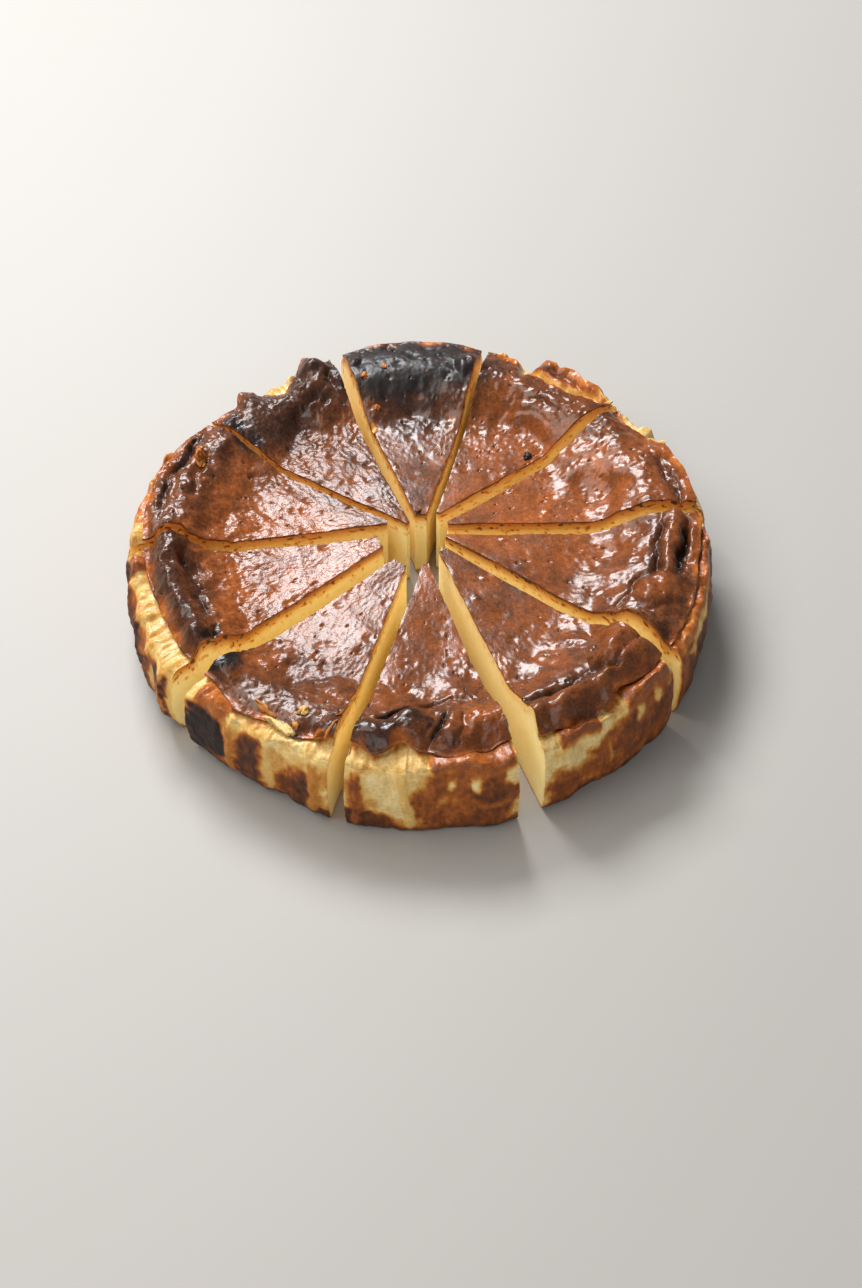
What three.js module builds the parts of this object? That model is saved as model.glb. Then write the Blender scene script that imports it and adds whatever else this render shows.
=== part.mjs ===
// A burnt-top cheesecake, baked in creased paper and cut into ten slices that still make a round.
// Millimetres, +Z up. The origin is on the base, under the middle of the round.

import * as THREE from "three";
import { mergeVertices } from "three/addons/utils/BufferGeometryUtils.js";

// Sizes of the whole cake
const DISH_HEIGHT = 34; // sunken middle of the top
const CREST_RADIUS = 98; // ring where the raised rim reaches its full height
const LIP_DROP = 2.5; // how far the crust rolls down from the crest to its outer lip
const BEARING_RADIUS = 116; // ring on which the bearing of a line from a slice's point is read
const WALL_CREASE = 0.8; // depth of the paper's upright creases in the side
const CREASES = 31; // creases around the side
const SHOULDER_INSET = 2.5; // the side leans in at the ledge
const SHOULDER_DROP = 2; // the ledge slopes down to the side
const FOOT_HEIGHT = 8; // the rounded foot of the side
const FOOT_ROUNDING = 0.75; // share of the way from the base's radius to the side's at that height

// Grid of each slice: across from cut to cut, along from tip to lip, and up the side
const ACROSS = 14;
const ALONG = 14;
const UP = 5;
const RIM_CROWDING = 1.65; // above 1 the rows stand closer together towards the rim

// The slices, clockwise from the back. Bearings are in degrees, counted from +X towards +Y.
// point is where the two cuts would meet, blunt is how far from there the tip is broken off,
// dish is the radius where the top starts to rise, crest the height of the rim, lip the radius
// of the crust's outer edge, wall that of the side, foot that of the base, and ledge the height
// of the pale step between lip and wall.
const SLICES = [
  {
    bearing: 92.5, spread: 35, point: [1.2, 11.8], blunt: 8,
    dish: 82, crest: 45, lip: 116, wall: 117.5, foot: 114.5, ledge: 41, tint: "#3a2b26",
  },
  {
    bearing: 57, spread: 38, point: [6.7, 18.6], blunt: 2.5,
    dish: 85, crest: 44, lip: 113, wall: 118, foot: 115, ledge: 40, tint: "#8a4b26",
  },
  {
    bearing: 20.5, spread: 37, point: [10.2, 14], blunt: 2,
    dish: 80, crest: 45.5, lip: 115.5, wall: 119.5, foot: 116, ledge: 40, tint: "#8f4e27",
  },
  {
    bearing: 343.5, spread: 37, point: [9.4, 8], blunt: 2,
    dish: 74, crest: 43.5, lip: 112.5, wall: 119, foot: 116, ledge: 39, tint: "#75402a",
  },
  {
    bearing: 307.5, spread: 33, point: [5.8, 4.7], blunt: 7,
    dish: 77, crest: 43, lip: 108.5, wall: 117, foot: 115, ledge: 37, tint: "#744026",
  },
  {
    bearing: 271.5, spread: 35, point: [2.8, -4.5], blunt: 4,
    dish: 74, crest: 42, lip: 105, wall: 115.5, foot: 114.5, ledge: 37, tint: "#6c3a24",
  },
  {
    bearing: 237.5, spread: 33, point: [-1.3, 2.3], blunt: 12,
    dish: 73, crest: 42, lip: 105, wall: 115, foot: 110.5, ledge: 36, tint: "#5c3424",
  },
  {
    bearing: 203.25, spread: 33.5, point: [-6.1, 8.2], blunt: 10.5,
    dish: 74, crest: 42.5, lip: 107, wall: 118, foot: 112.5, ledge: 36, tint: "#7f4526",
  },
  {
    bearing: 167.5, spread: 42, point: [-11, 14.6], blunt: 2,
    dish: 77, crest: 45, lip: 112.5, wall: 119, foot: 117, ledge: 39, tint: "#84482a",
  },
  {
    bearing: 129.25, spread: 36.5, point: [-2.8, 13], blunt: 2.5,
    dish: 85, crest: 43, lip: 109, wall: 116, foot: 114, ledge: 39, tint: "#553128",
  },
];

// Folds of the crust: a ridge where height is above 0, a crease where it is below. length and width
// are half sizes, and turn swings the fold's outer end from the rim's own direction.
const FOLDS = [
  { bearing: 107, radius: 107, length: 6, width: 5, height: 2.5, turn: 0 },
  { bearing: 78, radius: 103, length: 6, width: 8, height: 3, turn: 0 },
  { bearing: 65, radius: 113, length: 5, width: 8, height: -4, turn: 0 },
  { bearing: 54, radius: 115, length: 16, width: 5, height: 3, turn: 0 },
  { bearing: 18, radius: 108, length: 22, width: 3.5, height: -2.5, turn: 0 },
  { bearing: 353, radius: 106, length: 14, width: 3, height: -4, turn: 8 },
  { bearing: 350, radius: 96, length: 18, width: 4, height: -3, turn: -5 },
  { bearing: 340, radius: 97, length: 13, width: 7, height: 3, turn: 25 },
  { bearing: 325, radius: 97, length: 10, width: 9, height: 3, turn: 0 },
  { bearing: 311, radius: 105, length: 26, width: 7, height: 3.5, turn: 10 },
  { bearing: 304, radius: 96.5, length: 17, width: 4, height: -3, turn: 3 },
  { bearing: 281, radius: 94, length: 10, width: 6, height: 2.5, turn: -30 },
  { bearing: 267, radius: 88, length: 10, width: 3, height: -3, turn: -24 },
  { bearing: 262, radius: 99, length: 13, width: 6, height: 3, turn: -10 },
  { bearing: 221, radius: 100, length: 8, width: 8, height: 2, turn: 0 },
  { bearing: 202, radius: 102, length: 28, width: 6.5, height: 3.5, turn: -4 },
  { bearing: 199, radius: 90, length: 14, width: 5, height: -2.5, turn: 0 },
  { bearing: 163, radius: 108, length: 20, width: 4, height: 3, turn: 0 },
  { bearing: 162, radius: 102, length: 18, width: 3, height: -3, turn: 0 },
  { bearing: 132.5, radius: 110, length: 6, width: 7, height: 2.5, turn: 0 },
  { bearing: 115, radius: 109, length: 8, width: 9, height: 4.5, turn: 0 },
];

// Bays and bulges of the crust's outer lip: how far it stands out, over that half width in degrees
const LIP_BAYS = [
  { bearing: 132.5, width: 3.5, out: 5 },
  { bearing: 124.5, width: 5, out: -6 },
  { bearing: 115, width: 4.5, out: 6 },
  { bearing: 65.5, width: 3, out: -4 },
  { bearing: 54, width: 9, out: 5 },
];

const radians = THREE.MathUtils.degToRad;
const ease = THREE.MathUtils.smoothstep;

// The turn from one bearing to another, from -180 to 180 degrees
function turnBetween(from, to) {
  return THREE.MathUtils.euclideanModulo(to - from + 180, 360) - 180;
}

// A smooth hump, 1 in the middle and 0 from distance 1 outwards
function hump(distance) {
  return 1 - ease(Math.abs(distance), 0, 1);
}

// A value that the slices state, carried smoothly from the middle of one slice to the next
function aroundRim(key, bearing) {
  const before = SLICES.findIndex((slice, i) => {
    const next = SLICES[(i + 1) % SLICES.length];
    return turnBetween(bearing, slice.bearing) >= 0 && turnBetween(bearing, next.bearing) < 0;
  });
  const slice = SLICES[before];
  const next = SLICES[(before + 1) % SLICES.length];
  const share = turnBetween(bearing, slice.bearing) / turnBetween(next.bearing, slice.bearing);
  return THREE.MathUtils.lerp(slice[key], next[key], ease(share, 0, 1));
}

// Radius of the crust's outer edge
function lipRadius(bearing) {
  const bays = LIP_BAYS.reduce((sum, bay) => {
    return sum + bay.out * hump(turnBetween(bay.bearing, bearing) / bay.width);
  }, 0);
  return aroundRim("lip", bearing) + bays;
}

// Height that all folds together add at a point of the top
function foldHeight(x, y) {
  return FOLDS.reduce((sum, fold) => {
    const middle = radians(fold.bearing);
    const along = middle + Math.PI / 2 - radians(fold.turn);
    const dx = x - fold.radius * Math.cos(middle);
    const dy = y - fold.radius * Math.sin(middle);
    const lengthwise = (dx * Math.cos(along) + dy * Math.sin(along)) / fold.length;
    const crosswise = (dy * Math.cos(along) - dx * Math.sin(along)) / fold.width;
    return sum + fold.height * hump(lengthwise) * hump(crosswise);
  }, 0);
}

// Height of the top: a flat dish, the rise to the rim, and the roll down to the lip
function topHeight(x, y) {
  const radius = Math.hypot(x, y);
  const bearing = THREE.MathUtils.radToDeg(Math.atan2(y, x));
  const rise = aroundRim("crest", bearing) - DISH_HEIGHT;
  const climb = rise * ease(radius, aroundRim("dish", bearing), CREST_RADIUS);
  const roll = LIP_DROP * ease(radius, CREST_RADIUS, lipRadius(bearing)) ** 2;
  return DISH_HEIGHT + climb - roll + foldHeight(x, y);
}

// The side's outline from the base up to the lip, as radius and share of the lip's height
function sideOutline(bearing, lipHeight) {
  const crease = WALL_CREASE * Math.cos(radians(bearing * CREASES));
  const lip = lipRadius(bearing);
  const wall = Math.max(aroundRim("wall", bearing) + crease, lip);
  const foot = aroundRim("foot", bearing);
  const ledge = Math.min(aroundRim("ledge", bearing), lipHeight - SHOULDER_DROP);
  return [
    { radius: foot, height: 0 },
    { radius: THREE.MathUtils.lerp(foot, wall, FOOT_ROUNDING), height: FOOT_HEIGHT / lipHeight },
    { radius: wall, height: 0.5 },
    { radius: Math.max(wall - SHOULDER_INSET, lip), height: (ledge - SHOULDER_DROP) / lipHeight },
    { radius: lip, height: ledge / lipHeight },
    { radius: lip, height: 1 },
  ];
}

// Distance from the slice's point, in a direction, to a ring around the middle of the cake
function reach(point, direction, radius) {
  const ahead = point.dot(direction);
  return Math.sqrt(ahead * ahead - point.lengthSq() + radius * radius) - ahead;
}

// One slice: a box whose vertices are carried to the wedge between its two cuts
function sliceGeometry(slice) {
  const box = new THREE.BoxGeometry(1, 1, 1, ACROSS, ALONG, UP);
  box.deleteAttribute("normal");
  box.deleteAttribute("uv");
  const geometry = mergeVertices(box);
  const places = geometry.attributes.position;
  const point = new THREE.Vector2(...slice.point);
  const direction = new THREE.Vector2();
  const outer = new THREE.Vector2();
  const top = new THREE.Vector2();
  for (let i = 0; i < places.count; i += 1) {
    const across = places.getX(i) + 0.5;
    const along = 1 - (0.5 - places.getY(i)) ** RIM_CROWDING;
    const level = Math.round((places.getZ(i) + 0.5) * UP);
    const heading = radians(slice.bearing + (0.5 - across) * slice.spread);
    direction.set(Math.cos(heading), Math.sin(heading));
    outer.copy(point).addScaledVector(direction, reach(point, direction, BEARING_RADIUS));
    const bearing = THREE.MathUtils.radToDeg(outer.angle());
    const lipReach = reach(point, direction, lipRadius(bearing));
    outer.copy(point).addScaledVector(direction, lipReach);
    const side = sideOutline(bearing, topHeight(outer.x, outer.y))[level];
    const sideReach = reach(point, direction, side.radius);
    top.copy(point).addScaledVector(direction, THREE.MathUtils.lerp(slice.blunt, lipReach, along));
    const distance = THREE.MathUtils.lerp(slice.blunt, sideReach, along);
    places.setXYZ(
      i,
      point.x + distance * direction.x,
      point.y + distance * direction.y,
      side.height * topHeight(top.x, top.y),
    );
  }
  geometry.computeVertexNormals();
  return geometry;
}

function buildCake() {
  const cake = new THREE.Group();
  SLICES.forEach((slice, i) => {
    const crust = new THREE.MeshStandardMaterial({ color: slice.tint, roughness: 0.4, metalness: 0 });
    const mesh = new THREE.Mesh(sliceGeometry(slice), crust);
    mesh.name = `slice_${String(i + 1).padStart(2, "0")}`;
    cake.add(mesh);
  });
  return cake;
}

export default buildCake();
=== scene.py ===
import math

import bmesh
import bpy
import numpy as np
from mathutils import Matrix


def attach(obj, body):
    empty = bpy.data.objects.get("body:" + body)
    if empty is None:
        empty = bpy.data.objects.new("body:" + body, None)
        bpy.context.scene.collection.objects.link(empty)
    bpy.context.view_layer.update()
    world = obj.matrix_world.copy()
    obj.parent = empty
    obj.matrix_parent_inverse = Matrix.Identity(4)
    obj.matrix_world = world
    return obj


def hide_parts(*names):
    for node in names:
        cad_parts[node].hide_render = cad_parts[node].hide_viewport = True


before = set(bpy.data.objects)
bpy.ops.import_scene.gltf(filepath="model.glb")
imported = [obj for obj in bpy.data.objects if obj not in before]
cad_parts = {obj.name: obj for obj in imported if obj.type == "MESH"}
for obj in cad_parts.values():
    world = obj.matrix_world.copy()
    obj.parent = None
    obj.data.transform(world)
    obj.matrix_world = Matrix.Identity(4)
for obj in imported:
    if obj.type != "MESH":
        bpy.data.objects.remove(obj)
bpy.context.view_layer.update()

MM = 0.001  # sizes below are in millimetres, Blender's are in metres

# Sizes of the whole cake
DISH_HEIGHT = 33.2  # sunken ring of the top, inside the rim
DOME = 2.0  # the middle of the top stands above that ring by this much
DOME_RADIUS = 75.0  # ring where the top is lowest
CREST_RADIUS = 98.0  # ring where the raised rim reaches its full height
BEARING_RADIUS = 116.0  # ring on which the bearing of a line from a slice's point is read
SHOULDER_INSET = 2.5  # the side leans in at the ledge
SHOULDER_DROP = 2.0  # the ledge slopes down to the side
TUCK = 1.6  # the crust's lip overhangs the ledge by this much
SEARED = 0.4  # a place on the side that is darker than this has a golden edge
RISE_LEAD = 14.0  # the top starts to rise this far inside a slice's dish radius, on average
RISE_CURVE = 1.7  # above 1 the rise starts gently and ends steeply

# Rings of the crust: the radius where a change starts and the radius where it is complete
SMOOTH_RING = (42, 72)  # the crust is slickest inside it, and even slices are least grainy there
BANK_RING = (52, 84)  # crinkles and dents grow across it
SHRIVEL_RING = (58, 74)  # uneven slices are shrivelled outside it
RIM_RING = (76, 96)  # the rim's lumps and wrinkles grow across it
DARK_RING = (84, 97)  # the rim is browned more outside it

# Number of small marks on a slice
PITS = 30
DENTS = 70
BLISTERS = 12  # times how lumpy the slice is

# The part of the side that the photograph shows has its own stains, the rest has random ones
SHOWN_BEARING = 260
SHOWN_REACH = (62, 80)  # degrees to both sides, where it starts to end and where it has ended

# Grid of each slice: across from cut to cut, along from tip to lip, and up the side
ACROSS = 130
ALONG = 170
UP = 56
RIM_CROWDING = 1.25  # above 1 the rows stand closer together towards the rim
LEDGE_ROW = 0.58  # share of the rows up the side where the ledge starts
TUCK_ROW = 0.72  # share of the rows where the lip meets the ledge
ROWS_TALL = 40.0  # the rows stand for this height in patterns on the ledge
FACE = 0.499  # a place in the unit box that is further out than this lies on its face

# Kinds of faces, in the order of a slice's materials
CRUST = 0
SIDE = 1
CUT = 2

# The slices, clockwise from the back. Bearings are in degrees, counted from +X towards +Y.
# point is where the two cuts would meet, blunt is how far from there the tip is broken off,
# dish is the radius where the top starts to rise, crest the height of the rim, lip the radius
# of the crust's outer edge, drop how far the crust rolls down from the crest to there, wall the
# radius of the side, foot that of the base, and ledge the height of the pale step between lip and
# wall. brown is how dark the crust is, bumps how uneven, lumpy how uneven its rim is, tan how dark the
# custard is just under it, and gloss how slick it is.
SLICES = [
    dict(bearing=92.5, spread=35, point=(1.2, 11.8), blunt=8, dish=82, crest=45, lip=116, drop=2.5,
         wall=117.5, foot=114.5, ledge=41, brown=0.68, bumps=0.1, lumpy=0.4, tan=0.34, gloss=0.84),
    dict(bearing=57, spread=38, point=(6.7, 18.6), blunt=2.5, dish=85, crest=44, lip=113, drop=3,
         wall=118, foot=115, ledge=40, brown=0.57, bumps=0.1, lumpy=0.7, tan=0.22, gloss=0.84),
    dict(bearing=20.5, spread=37, point=(10.2, 14), blunt=2, dish=80, crest=45.5, lip=115.5, drop=3.5,
         wall=119.5, foot=116, ledge=40, brown=0.53, bumps=0.15, lumpy=0.8, tan=0.36, gloss=0.84),
    dict(bearing=343.5, spread=37, point=(9.4, 8), blunt=2, dish=74, crest=43.5, lip=112.5, drop=4,
         wall=119, foot=116, ledge=38.5, brown=0.63, bumps=0.12, lumpy=0.6, tan=0.36, gloss=0.84),
    dict(bearing=307.5, spread=33, point=(5.8, 4.7), blunt=7, dish=77, crest=43, lip=109.5, drop=6,
         wall=117, foot=115, ledge=36, brown=0.62, bumps=0.1, lumpy=0.35, tan=0.08, gloss=0.84),
    dict(bearing=271.5, spread=35, point=(2.8, -4.5), blunt=4, dish=74, crest=42, lip=105, drop=4,
         wall=115.5, foot=114.5, ledge=36.5, brown=0.61, bumps=0.2, lumpy=0.6, tan=0.16, gloss=0.86),
    dict(bearing=237.5, spread=33, point=(-1.3, 2.3), blunt=12, dish=82, crest=39.5, lip=105, drop=2,
         wall=115, foot=110.5, ledge=36, brown=0.64, bumps=0.65, lumpy=0.5, tan=0.22, gloss=0.7),
    dict(bearing=203.25, spread=33.5, point=(-6.1, 8.2), blunt=10.5, dish=80, crest=42.5, lip=107, drop=5,
         wall=118, foot=112.5, ledge=35.5, brown=0.55, bumps=1.0, lumpy=0.9, tan=0.4, gloss=0.78),
    dict(bearing=167.5, spread=42, point=(-11, 14.6), blunt=2, dish=84, crest=45, lip=112.5, drop=3.5,
         wall=119, foot=117, ledge=39, brown=0.57, bumps=1.0, lumpy=0.9, tan=0.3, gloss=0.78),
    dict(bearing=129.25, spread=36.5, point=(-2.8, 13), blunt=2.5, dish=87, crest=43, lip=109, drop=3,
         wall=113, foot=111, ledge=38, brown=0.66, bumps=1.0, lumpy=1.2, tan=0.24, gloss=0.6),
]

# Swellings and hollows of the crust. length and width are half sizes along and across the rim, and turn,
# where given, turns them in degrees.
LUMPS = [
    dict(bearing=107, radius=107, length=6, width=5, height=2.5),
    dict(bearing=78, radius=103, length=6, width=8, height=3),
    dict(bearing=65, radius=113, length=5, width=8, height=-4),
    dict(bearing=39, radius=104, length=9, width=6, height=2),
    dict(bearing=321, radius=99, length=12, width=9, height=3, turn=-20),
    dict(bearing=284, radius=104, length=8, width=5, height=-2),
    dict(bearing=220, radius=100, length=12, width=11, height=2),
    dict(bearing=250, radius=66, length=30, width=42, height=0.9),
    dict(bearing=189, radius=90, length=9, width=6, height=-4),
    dict(bearing=155, radius=100, length=4, width=3, height=2),
    dict(bearing=141, radius=95, length=7, width=12, height=-1.5),
    dict(bearing=132.5, radius=110, length=6, width=7, height=2.5),
    dict(bearing=119, radius=99, length=9, width=6, height=2.5),
    dict(bearing=115, radius=109, length=8, width=9, height=4.5),
]

# Folds of the crust along lines of (bearing, radius): a roll where height is above 0, a crease where
# it is below. width is half the fold's width, brown, where given, how dark it is, and a fold with
# blunt ends keeps its height to the end.
# The dark browns given to creases are partly baking and partly painted shade in their hollows
FOLDS = [
    dict(path=[(26, 109), (17, 108), (8, 110)], width=4.5, height=-1.6, brown=0.72),
    dict(path=[(29, 112), (17, 114.5), (4, 114)], width=4.5, height=2.2, brown=0.52),
    dict(path=[(65, 84), (56, 86), (46, 84)], width=2.2, height=0.5),
    dict(path=[(68, 90), (58, 91), (48, 89)], width=2.4, height=0.6),
    dict(path=[(66, 95), (55, 97), (45, 95)], width=2.8, height=0.8),
    dict(path=[(66, 110), (62, 108.5), (55, 106.5), (49, 109), (44, 113)], width=3.5, height=-4, brown=0.14),
    dict(path=[(63, 115), (58, 116.5), (52, 115), (45, 115)], width=4.5, height=3.4, brown=0.38),
    dict(path=[(48, 116), (45, 115), (41, 113)], width=3.5, height=1.5, brown=0.06),
    dict(path=[(335, 83), (340, 87), (344, 88.5), (346, 91), (347, 96)], width=4.5, height=-2.4, brown=0.72),
    dict(path=[(346, 94), (353, 97), (358, 96), (364, 100)], width=4, height=-2.8, brown=0.78),
    dict(path=[(349, 105), (353, 106), (358, 107), (363, 109)], width=3.2, height=-4, brown=0.92),
    dict(path=[(350, 111), (357, 112.5), (366, 113.5)], width=4.5, height=3, brown=0.62, blunt=True),
    dict(path=[(339, 91), (343, 98), (347, 106)], width=8, height=3.4, brown=0.58),
    dict(path=[(351, 101.5), (358, 102), (366, 105)], width=5, height=2.6, brown=0.6, blunt=True),
    dict(path=[(331, 98), (333, 105), (336, 112)], width=4.5, height=2.2, brown=0.72),
    dict(path=[(292, 104), (300, 103), (309, 104), (316, 106), (327, 108)], width=7.5, height=4.6, brown=0.63,
         blunt=True),
    dict(path=[(294, 93), (301, 94.5), (306, 96), (310, 96.5), (315, 94)], width=4.5, height=-2.6,
         brown=0.76),
    dict(path=[(313, 96), (316, 99), (319, 104)], width=3.2, height=-3, brown=0.8),
    dict(path=[(318, 97.5), (323, 96), (330, 94.5)], width=8, height=4.6, brown=0.58, blunt=True),
    dict(path=[(261, 94), (265, 88), (269, 85.5)], width=2.6, height=-3.4, brown=1.0),
    dict(path=[(268, 86), (273, 82), (278, 80.5), (284, 82)], width=3, height=-2, brown=0.68),
    dict(path=[(252, 103), (259, 102), (264, 99), (269, 93)], width=7, height=3.8, brown=0.84, blunt=True),
    dict(path=[(278, 87), (275.5, 95), (273, 104)], width=3, height=-2.6, brown=0.82),
    dict(path=[(280, 88), (278, 96), (275.5, 103)], width=3.6, height=2.4, brown=0.62),
    dict(path=[(281, 93), (286, 94), (293, 96)], width=6, height=2.2, brown=0.55),
    dict(path=[(180, 100), (191, 101), (201, 101), (206, 100.5), (211, 100)], width=7, height=4.4, brown=0.78,
         blunt=True),
    dict(path=[(184, 95), (194, 91.5), (200, 91), (208, 92.5)], width=4, height=-2.2, brown=0.76),
    dict(path=[(208, 89), (212, 93), (214, 100)], width=2.6, height=-2, brown=0.86),
    dict(path=[(146, 112), (156, 110.5), (163, 111), (178, 111)], width=4.2, height=2.8, brown=0.62),
    dict(path=[(151, 107), (156, 105.5), (161, 106)], width=3.4, height=-2.2, brown=0.84),
    dict(path=[(163, 108), (168, 107), (174, 107.5)], width=3.4, height=-2, brown=0.8),
    dict(path=[(170, 99), (161, 101), (153, 102)], width=3, height=1.6),
    dict(path=[(168, 95), (161, 96.5), (154, 97)], width=3, height=-1.4),
    dict(path=[(149, 109), (151, 107.5)], width=1.8, height=-2, brown=1.0),
    dict(path=[(127, 90), (119, 92), (113, 91)], width=3.6, height=-1.8, brown=0.82),
    dict(path=[(108, 92), (113, 97), (112, 104)], width=3.4, height=-1.8),
    dict(path=[(109, 69), (106.5, 73.6), (104.5, 76)], width=2.4, height=-1.5, brown=0.1),
]

# Bays and bulges of the crust's outer lip: how far it stands out, over that half width in degrees
LIP_BAYS = [
    dict(bearing=132.5, width=3.5, out=5),
    dict(bearing=124.5, width=5, out=-6),
    dict(bearing=115, width=4.5, out=6),
    dict(bearing=65.5, width=3, out=-4),
    dict(bearing=60.5, width=3, out=5),
    dict(bearing=55, width=5, out=3.5),
    dict(bearing=49, width=4, out=2),
    dict(bearing=35, width=10, out=-5.5),
    dict(bearing=323, width=5, out=2),
    dict(bearing=315, width=4, out=-2.5),
    dict(bearing=304, width=6, out=2.5),
    dict(bearing=288, width=4, out=-2),
    dict(bearing=277, width=6, out=3),
    dict(bearing=267, width=3.5, out=-3),
    dict(bearing=261, width=4, out=2.5),
    dict(bearing=232, width=9, out=4),
    dict(bearing=245, width=6, out=4),
]

# How dark the crust is in places, from 0, unbaked cream, to 1, charred. Sizes as for the lumps.
SCORCHES = [
    dict(bearing=92, radius=100, length=34, width=19, brown=0.98, dull=0.5),
    dict(bearing=94, radius=76, length=18, width=9, brown=0.8),
    dict(bearing=141, radius=96, length=6, width=13, brown=0.99),
    dict(bearing=127, radius=94, length=26, width=15, brown=0.79),
    dict(bearing=114, radius=109, length=9, width=9, brown=0.82),
    dict(bearing=43, radius=104, length=9, width=7, brown=0.76),
    dict(bearing=52, radius=98, length=20, width=8, brown=0.66),
    dict(bearing=345, radius=104, length=16, width=7, brown=0.66),
    dict(bearing=322, radius=99, length=10, width=7, brown=0.62),
    dict(bearing=284, radius=101, length=11, width=8, brown=0.6),
    dict(bearing=220, radius=98, length=9, width=9, brown=0.97),
    dict(bearing=235, radius=101, length=22, width=6, brown=0.7),
    dict(bearing=196, radius=89, length=16, width=6, brown=0.68),
    dict(bearing=155, radius=100, length=4, width=3, brown=0.36),
]

# Lumps and browned stretches of the ledge outside the crust: half width and rise in millimetres, and how dark
LEDGE_LUMPS = [
    dict(bearing=303, wide=10, rise=5.0, brown=0.52),
    dict(bearing=320.5, wide=14, rise=5.0, brown=0.5),
    dict(bearing=344, wide=34, rise=0.5, brown=0.38),
    dict(bearing=281, wide=18, rise=3.0, brown=0.46),
    dict(bearing=204, wide=26, rise=0.5, brown=0.16),
    dict(bearing=168, wide=24, rise=0.5, brown=0.34),
    dict(bearing=226, wide=9, rise=3.5, brown=0.4),
    dict(bearing=186, wide=5, rise=5.0, brown=0.54),
    dict(bearing=178, wide=5, rise=2.5, brown=0.13),
    dict(bearing=156, wide=4, rise=3.5, brown=0.36),
    dict(bearing=125, wide=6, rise=1.0, brown=0.16),
    dict(bearing=120.5, wide=3, rise=3.0, brown=0.1),
    dict(bearing=72, wide=5, rise=3.0, brown=0.22),
    dict(bearing=33, wide=3, rise=2.5, brown=0.08),
    dict(bearing=28, wide=3, rise=2.5, brown=0.12),
    dict(bearing=357, wide=16, rise=2.5, brown=0.48),
    dict(bearing=244, wide=12, rise=1.2, brown=0.08),
]

# How dark the side is in places. wide and tall are half sizes, and lean, where given,
# tips a place sideways in degrees.
SIDE_STAINS = [
    dict(bearing=195, height=22, wide=44, tall=24, brown=0.4),
    dict(bearing=234, height=15, wide=30, tall=19, brown=0.2),
    dict(bearing=319, height=15, wide=30, tall=20, brown=0.46),
    dict(bearing=320, height=24, wide=17, tall=14, brown=0.5),
    dict(bearing=303, height=6, wide=15, tall=14, lean=-30, brown=0.48),
    dict(bearing=307, height=31, wide=3.6, tall=8, lean=12, brown=0.06),
    dict(bearing=309.7, height=18, wide=1.2, tall=9, lean=-8, brown=0.2),
    dict(bearing=317, height=29, wide=2.4, tall=4, brown=0.1),
    dict(bearing=322.5, height=31, wide=2.2, tall=4, brown=0.12),
    dict(bearing=328, height=19, wide=1.6, tall=6, brown=0.2),
    dict(bearing=279.5, height=17, wide=19.5, tall=27, brown=0.49),
    dict(bearing=284, height=23, wide=9, tall=9, brown=0.54),
    dict(bearing=276.5, height=27.5, wide=2.3, tall=4.6, lean=4, brown=0.03),
    dict(bearing=281, height=27.5, wide=2.3, tall=4.6, lean=-4, brown=0.03),
    dict(bearing=279.6, height=18, wide=2.2, tall=5, brown=0.4),
    dict(bearing=285, height=14.5, wide=6, tall=2, lean=-6, brown=0.33),
    dict(bearing=289.5, height=34, wide=5, tall=10, brown=0.06),
    dict(bearing=258.5, height=17, wide=1.6, tall=5, lean=-15, brown=0.6),
    dict(bearing=258, height=3, wide=15, tall=9, brown=0.64),
    dict(bearing=224.5, height=19, wide=12.5, tall=15, brown=0.86),
    dict(bearing=235.5, height=20, wide=7, tall=15, brown=0.66),
    dict(bearing=246, height=10, wide=10, tall=13, brown=0.64),
    dict(bearing=232, height=3, wide=22, tall=7, brown=0.62),
    dict(bearing=231, height=18, wide=1.5, tall=18, lean=10, brown=0.25),
    dict(bearing=239.5, height=20, wide=2, tall=16, lean=4, brown=0.12),
    dict(bearing=250.5, height=15, wide=1.2, tall=13, lean=24, brown=0.22),
    dict(bearing=210, height=20, wide=3.5, tall=19, lean=6, brown=0.72),
    dict(bearing=200, height=8, wide=16, tall=9, brown=0.8),
    dict(bearing=193, height=22, wide=5, tall=16, brown=0.58),
    dict(bearing=186, height=26, wide=4, tall=15, lean=-6, brown=0.66),
    dict(bearing=203, height=20, wide=3, tall=17, lean=5, brown=0.62),
    dict(bearing=206.5, height=22, wide=3, tall=12, brown=0.14),
    dict(bearing=214.5, height=18, wide=3.5, tall=19, brown=0.14),
]

# Sharp pleats that the paper left in the side: half width in degrees, how far they stand out and how dark
PLEATS = [
    dict(bearing=182, width=3, out=2.2, brown=0.66),
    dict(bearing=189.5, width=3, out=2.6, brown=0.6),
    dict(bearing=197.5, width=3.5, out=3, brown=0.7),
    dict(bearing=204.5, width=3, out=2.4, brown=0.5),
    dict(bearing=212, width=3, out=2.4, brown=0.68),
    dict(bearing=231, width=1.6, out=1.4, brown=0.28),
    dict(bearing=240, width=1.6, out=1.2, brown=0.14),
    dict(bearing=250, width=1.6, out=1.2, brown=0.26),
    dict(bearing=258, width=1.6, out=1.0, brown=0.4),
    dict(bearing=268, width=2, out=1.0, brown=0.12),
]

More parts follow.
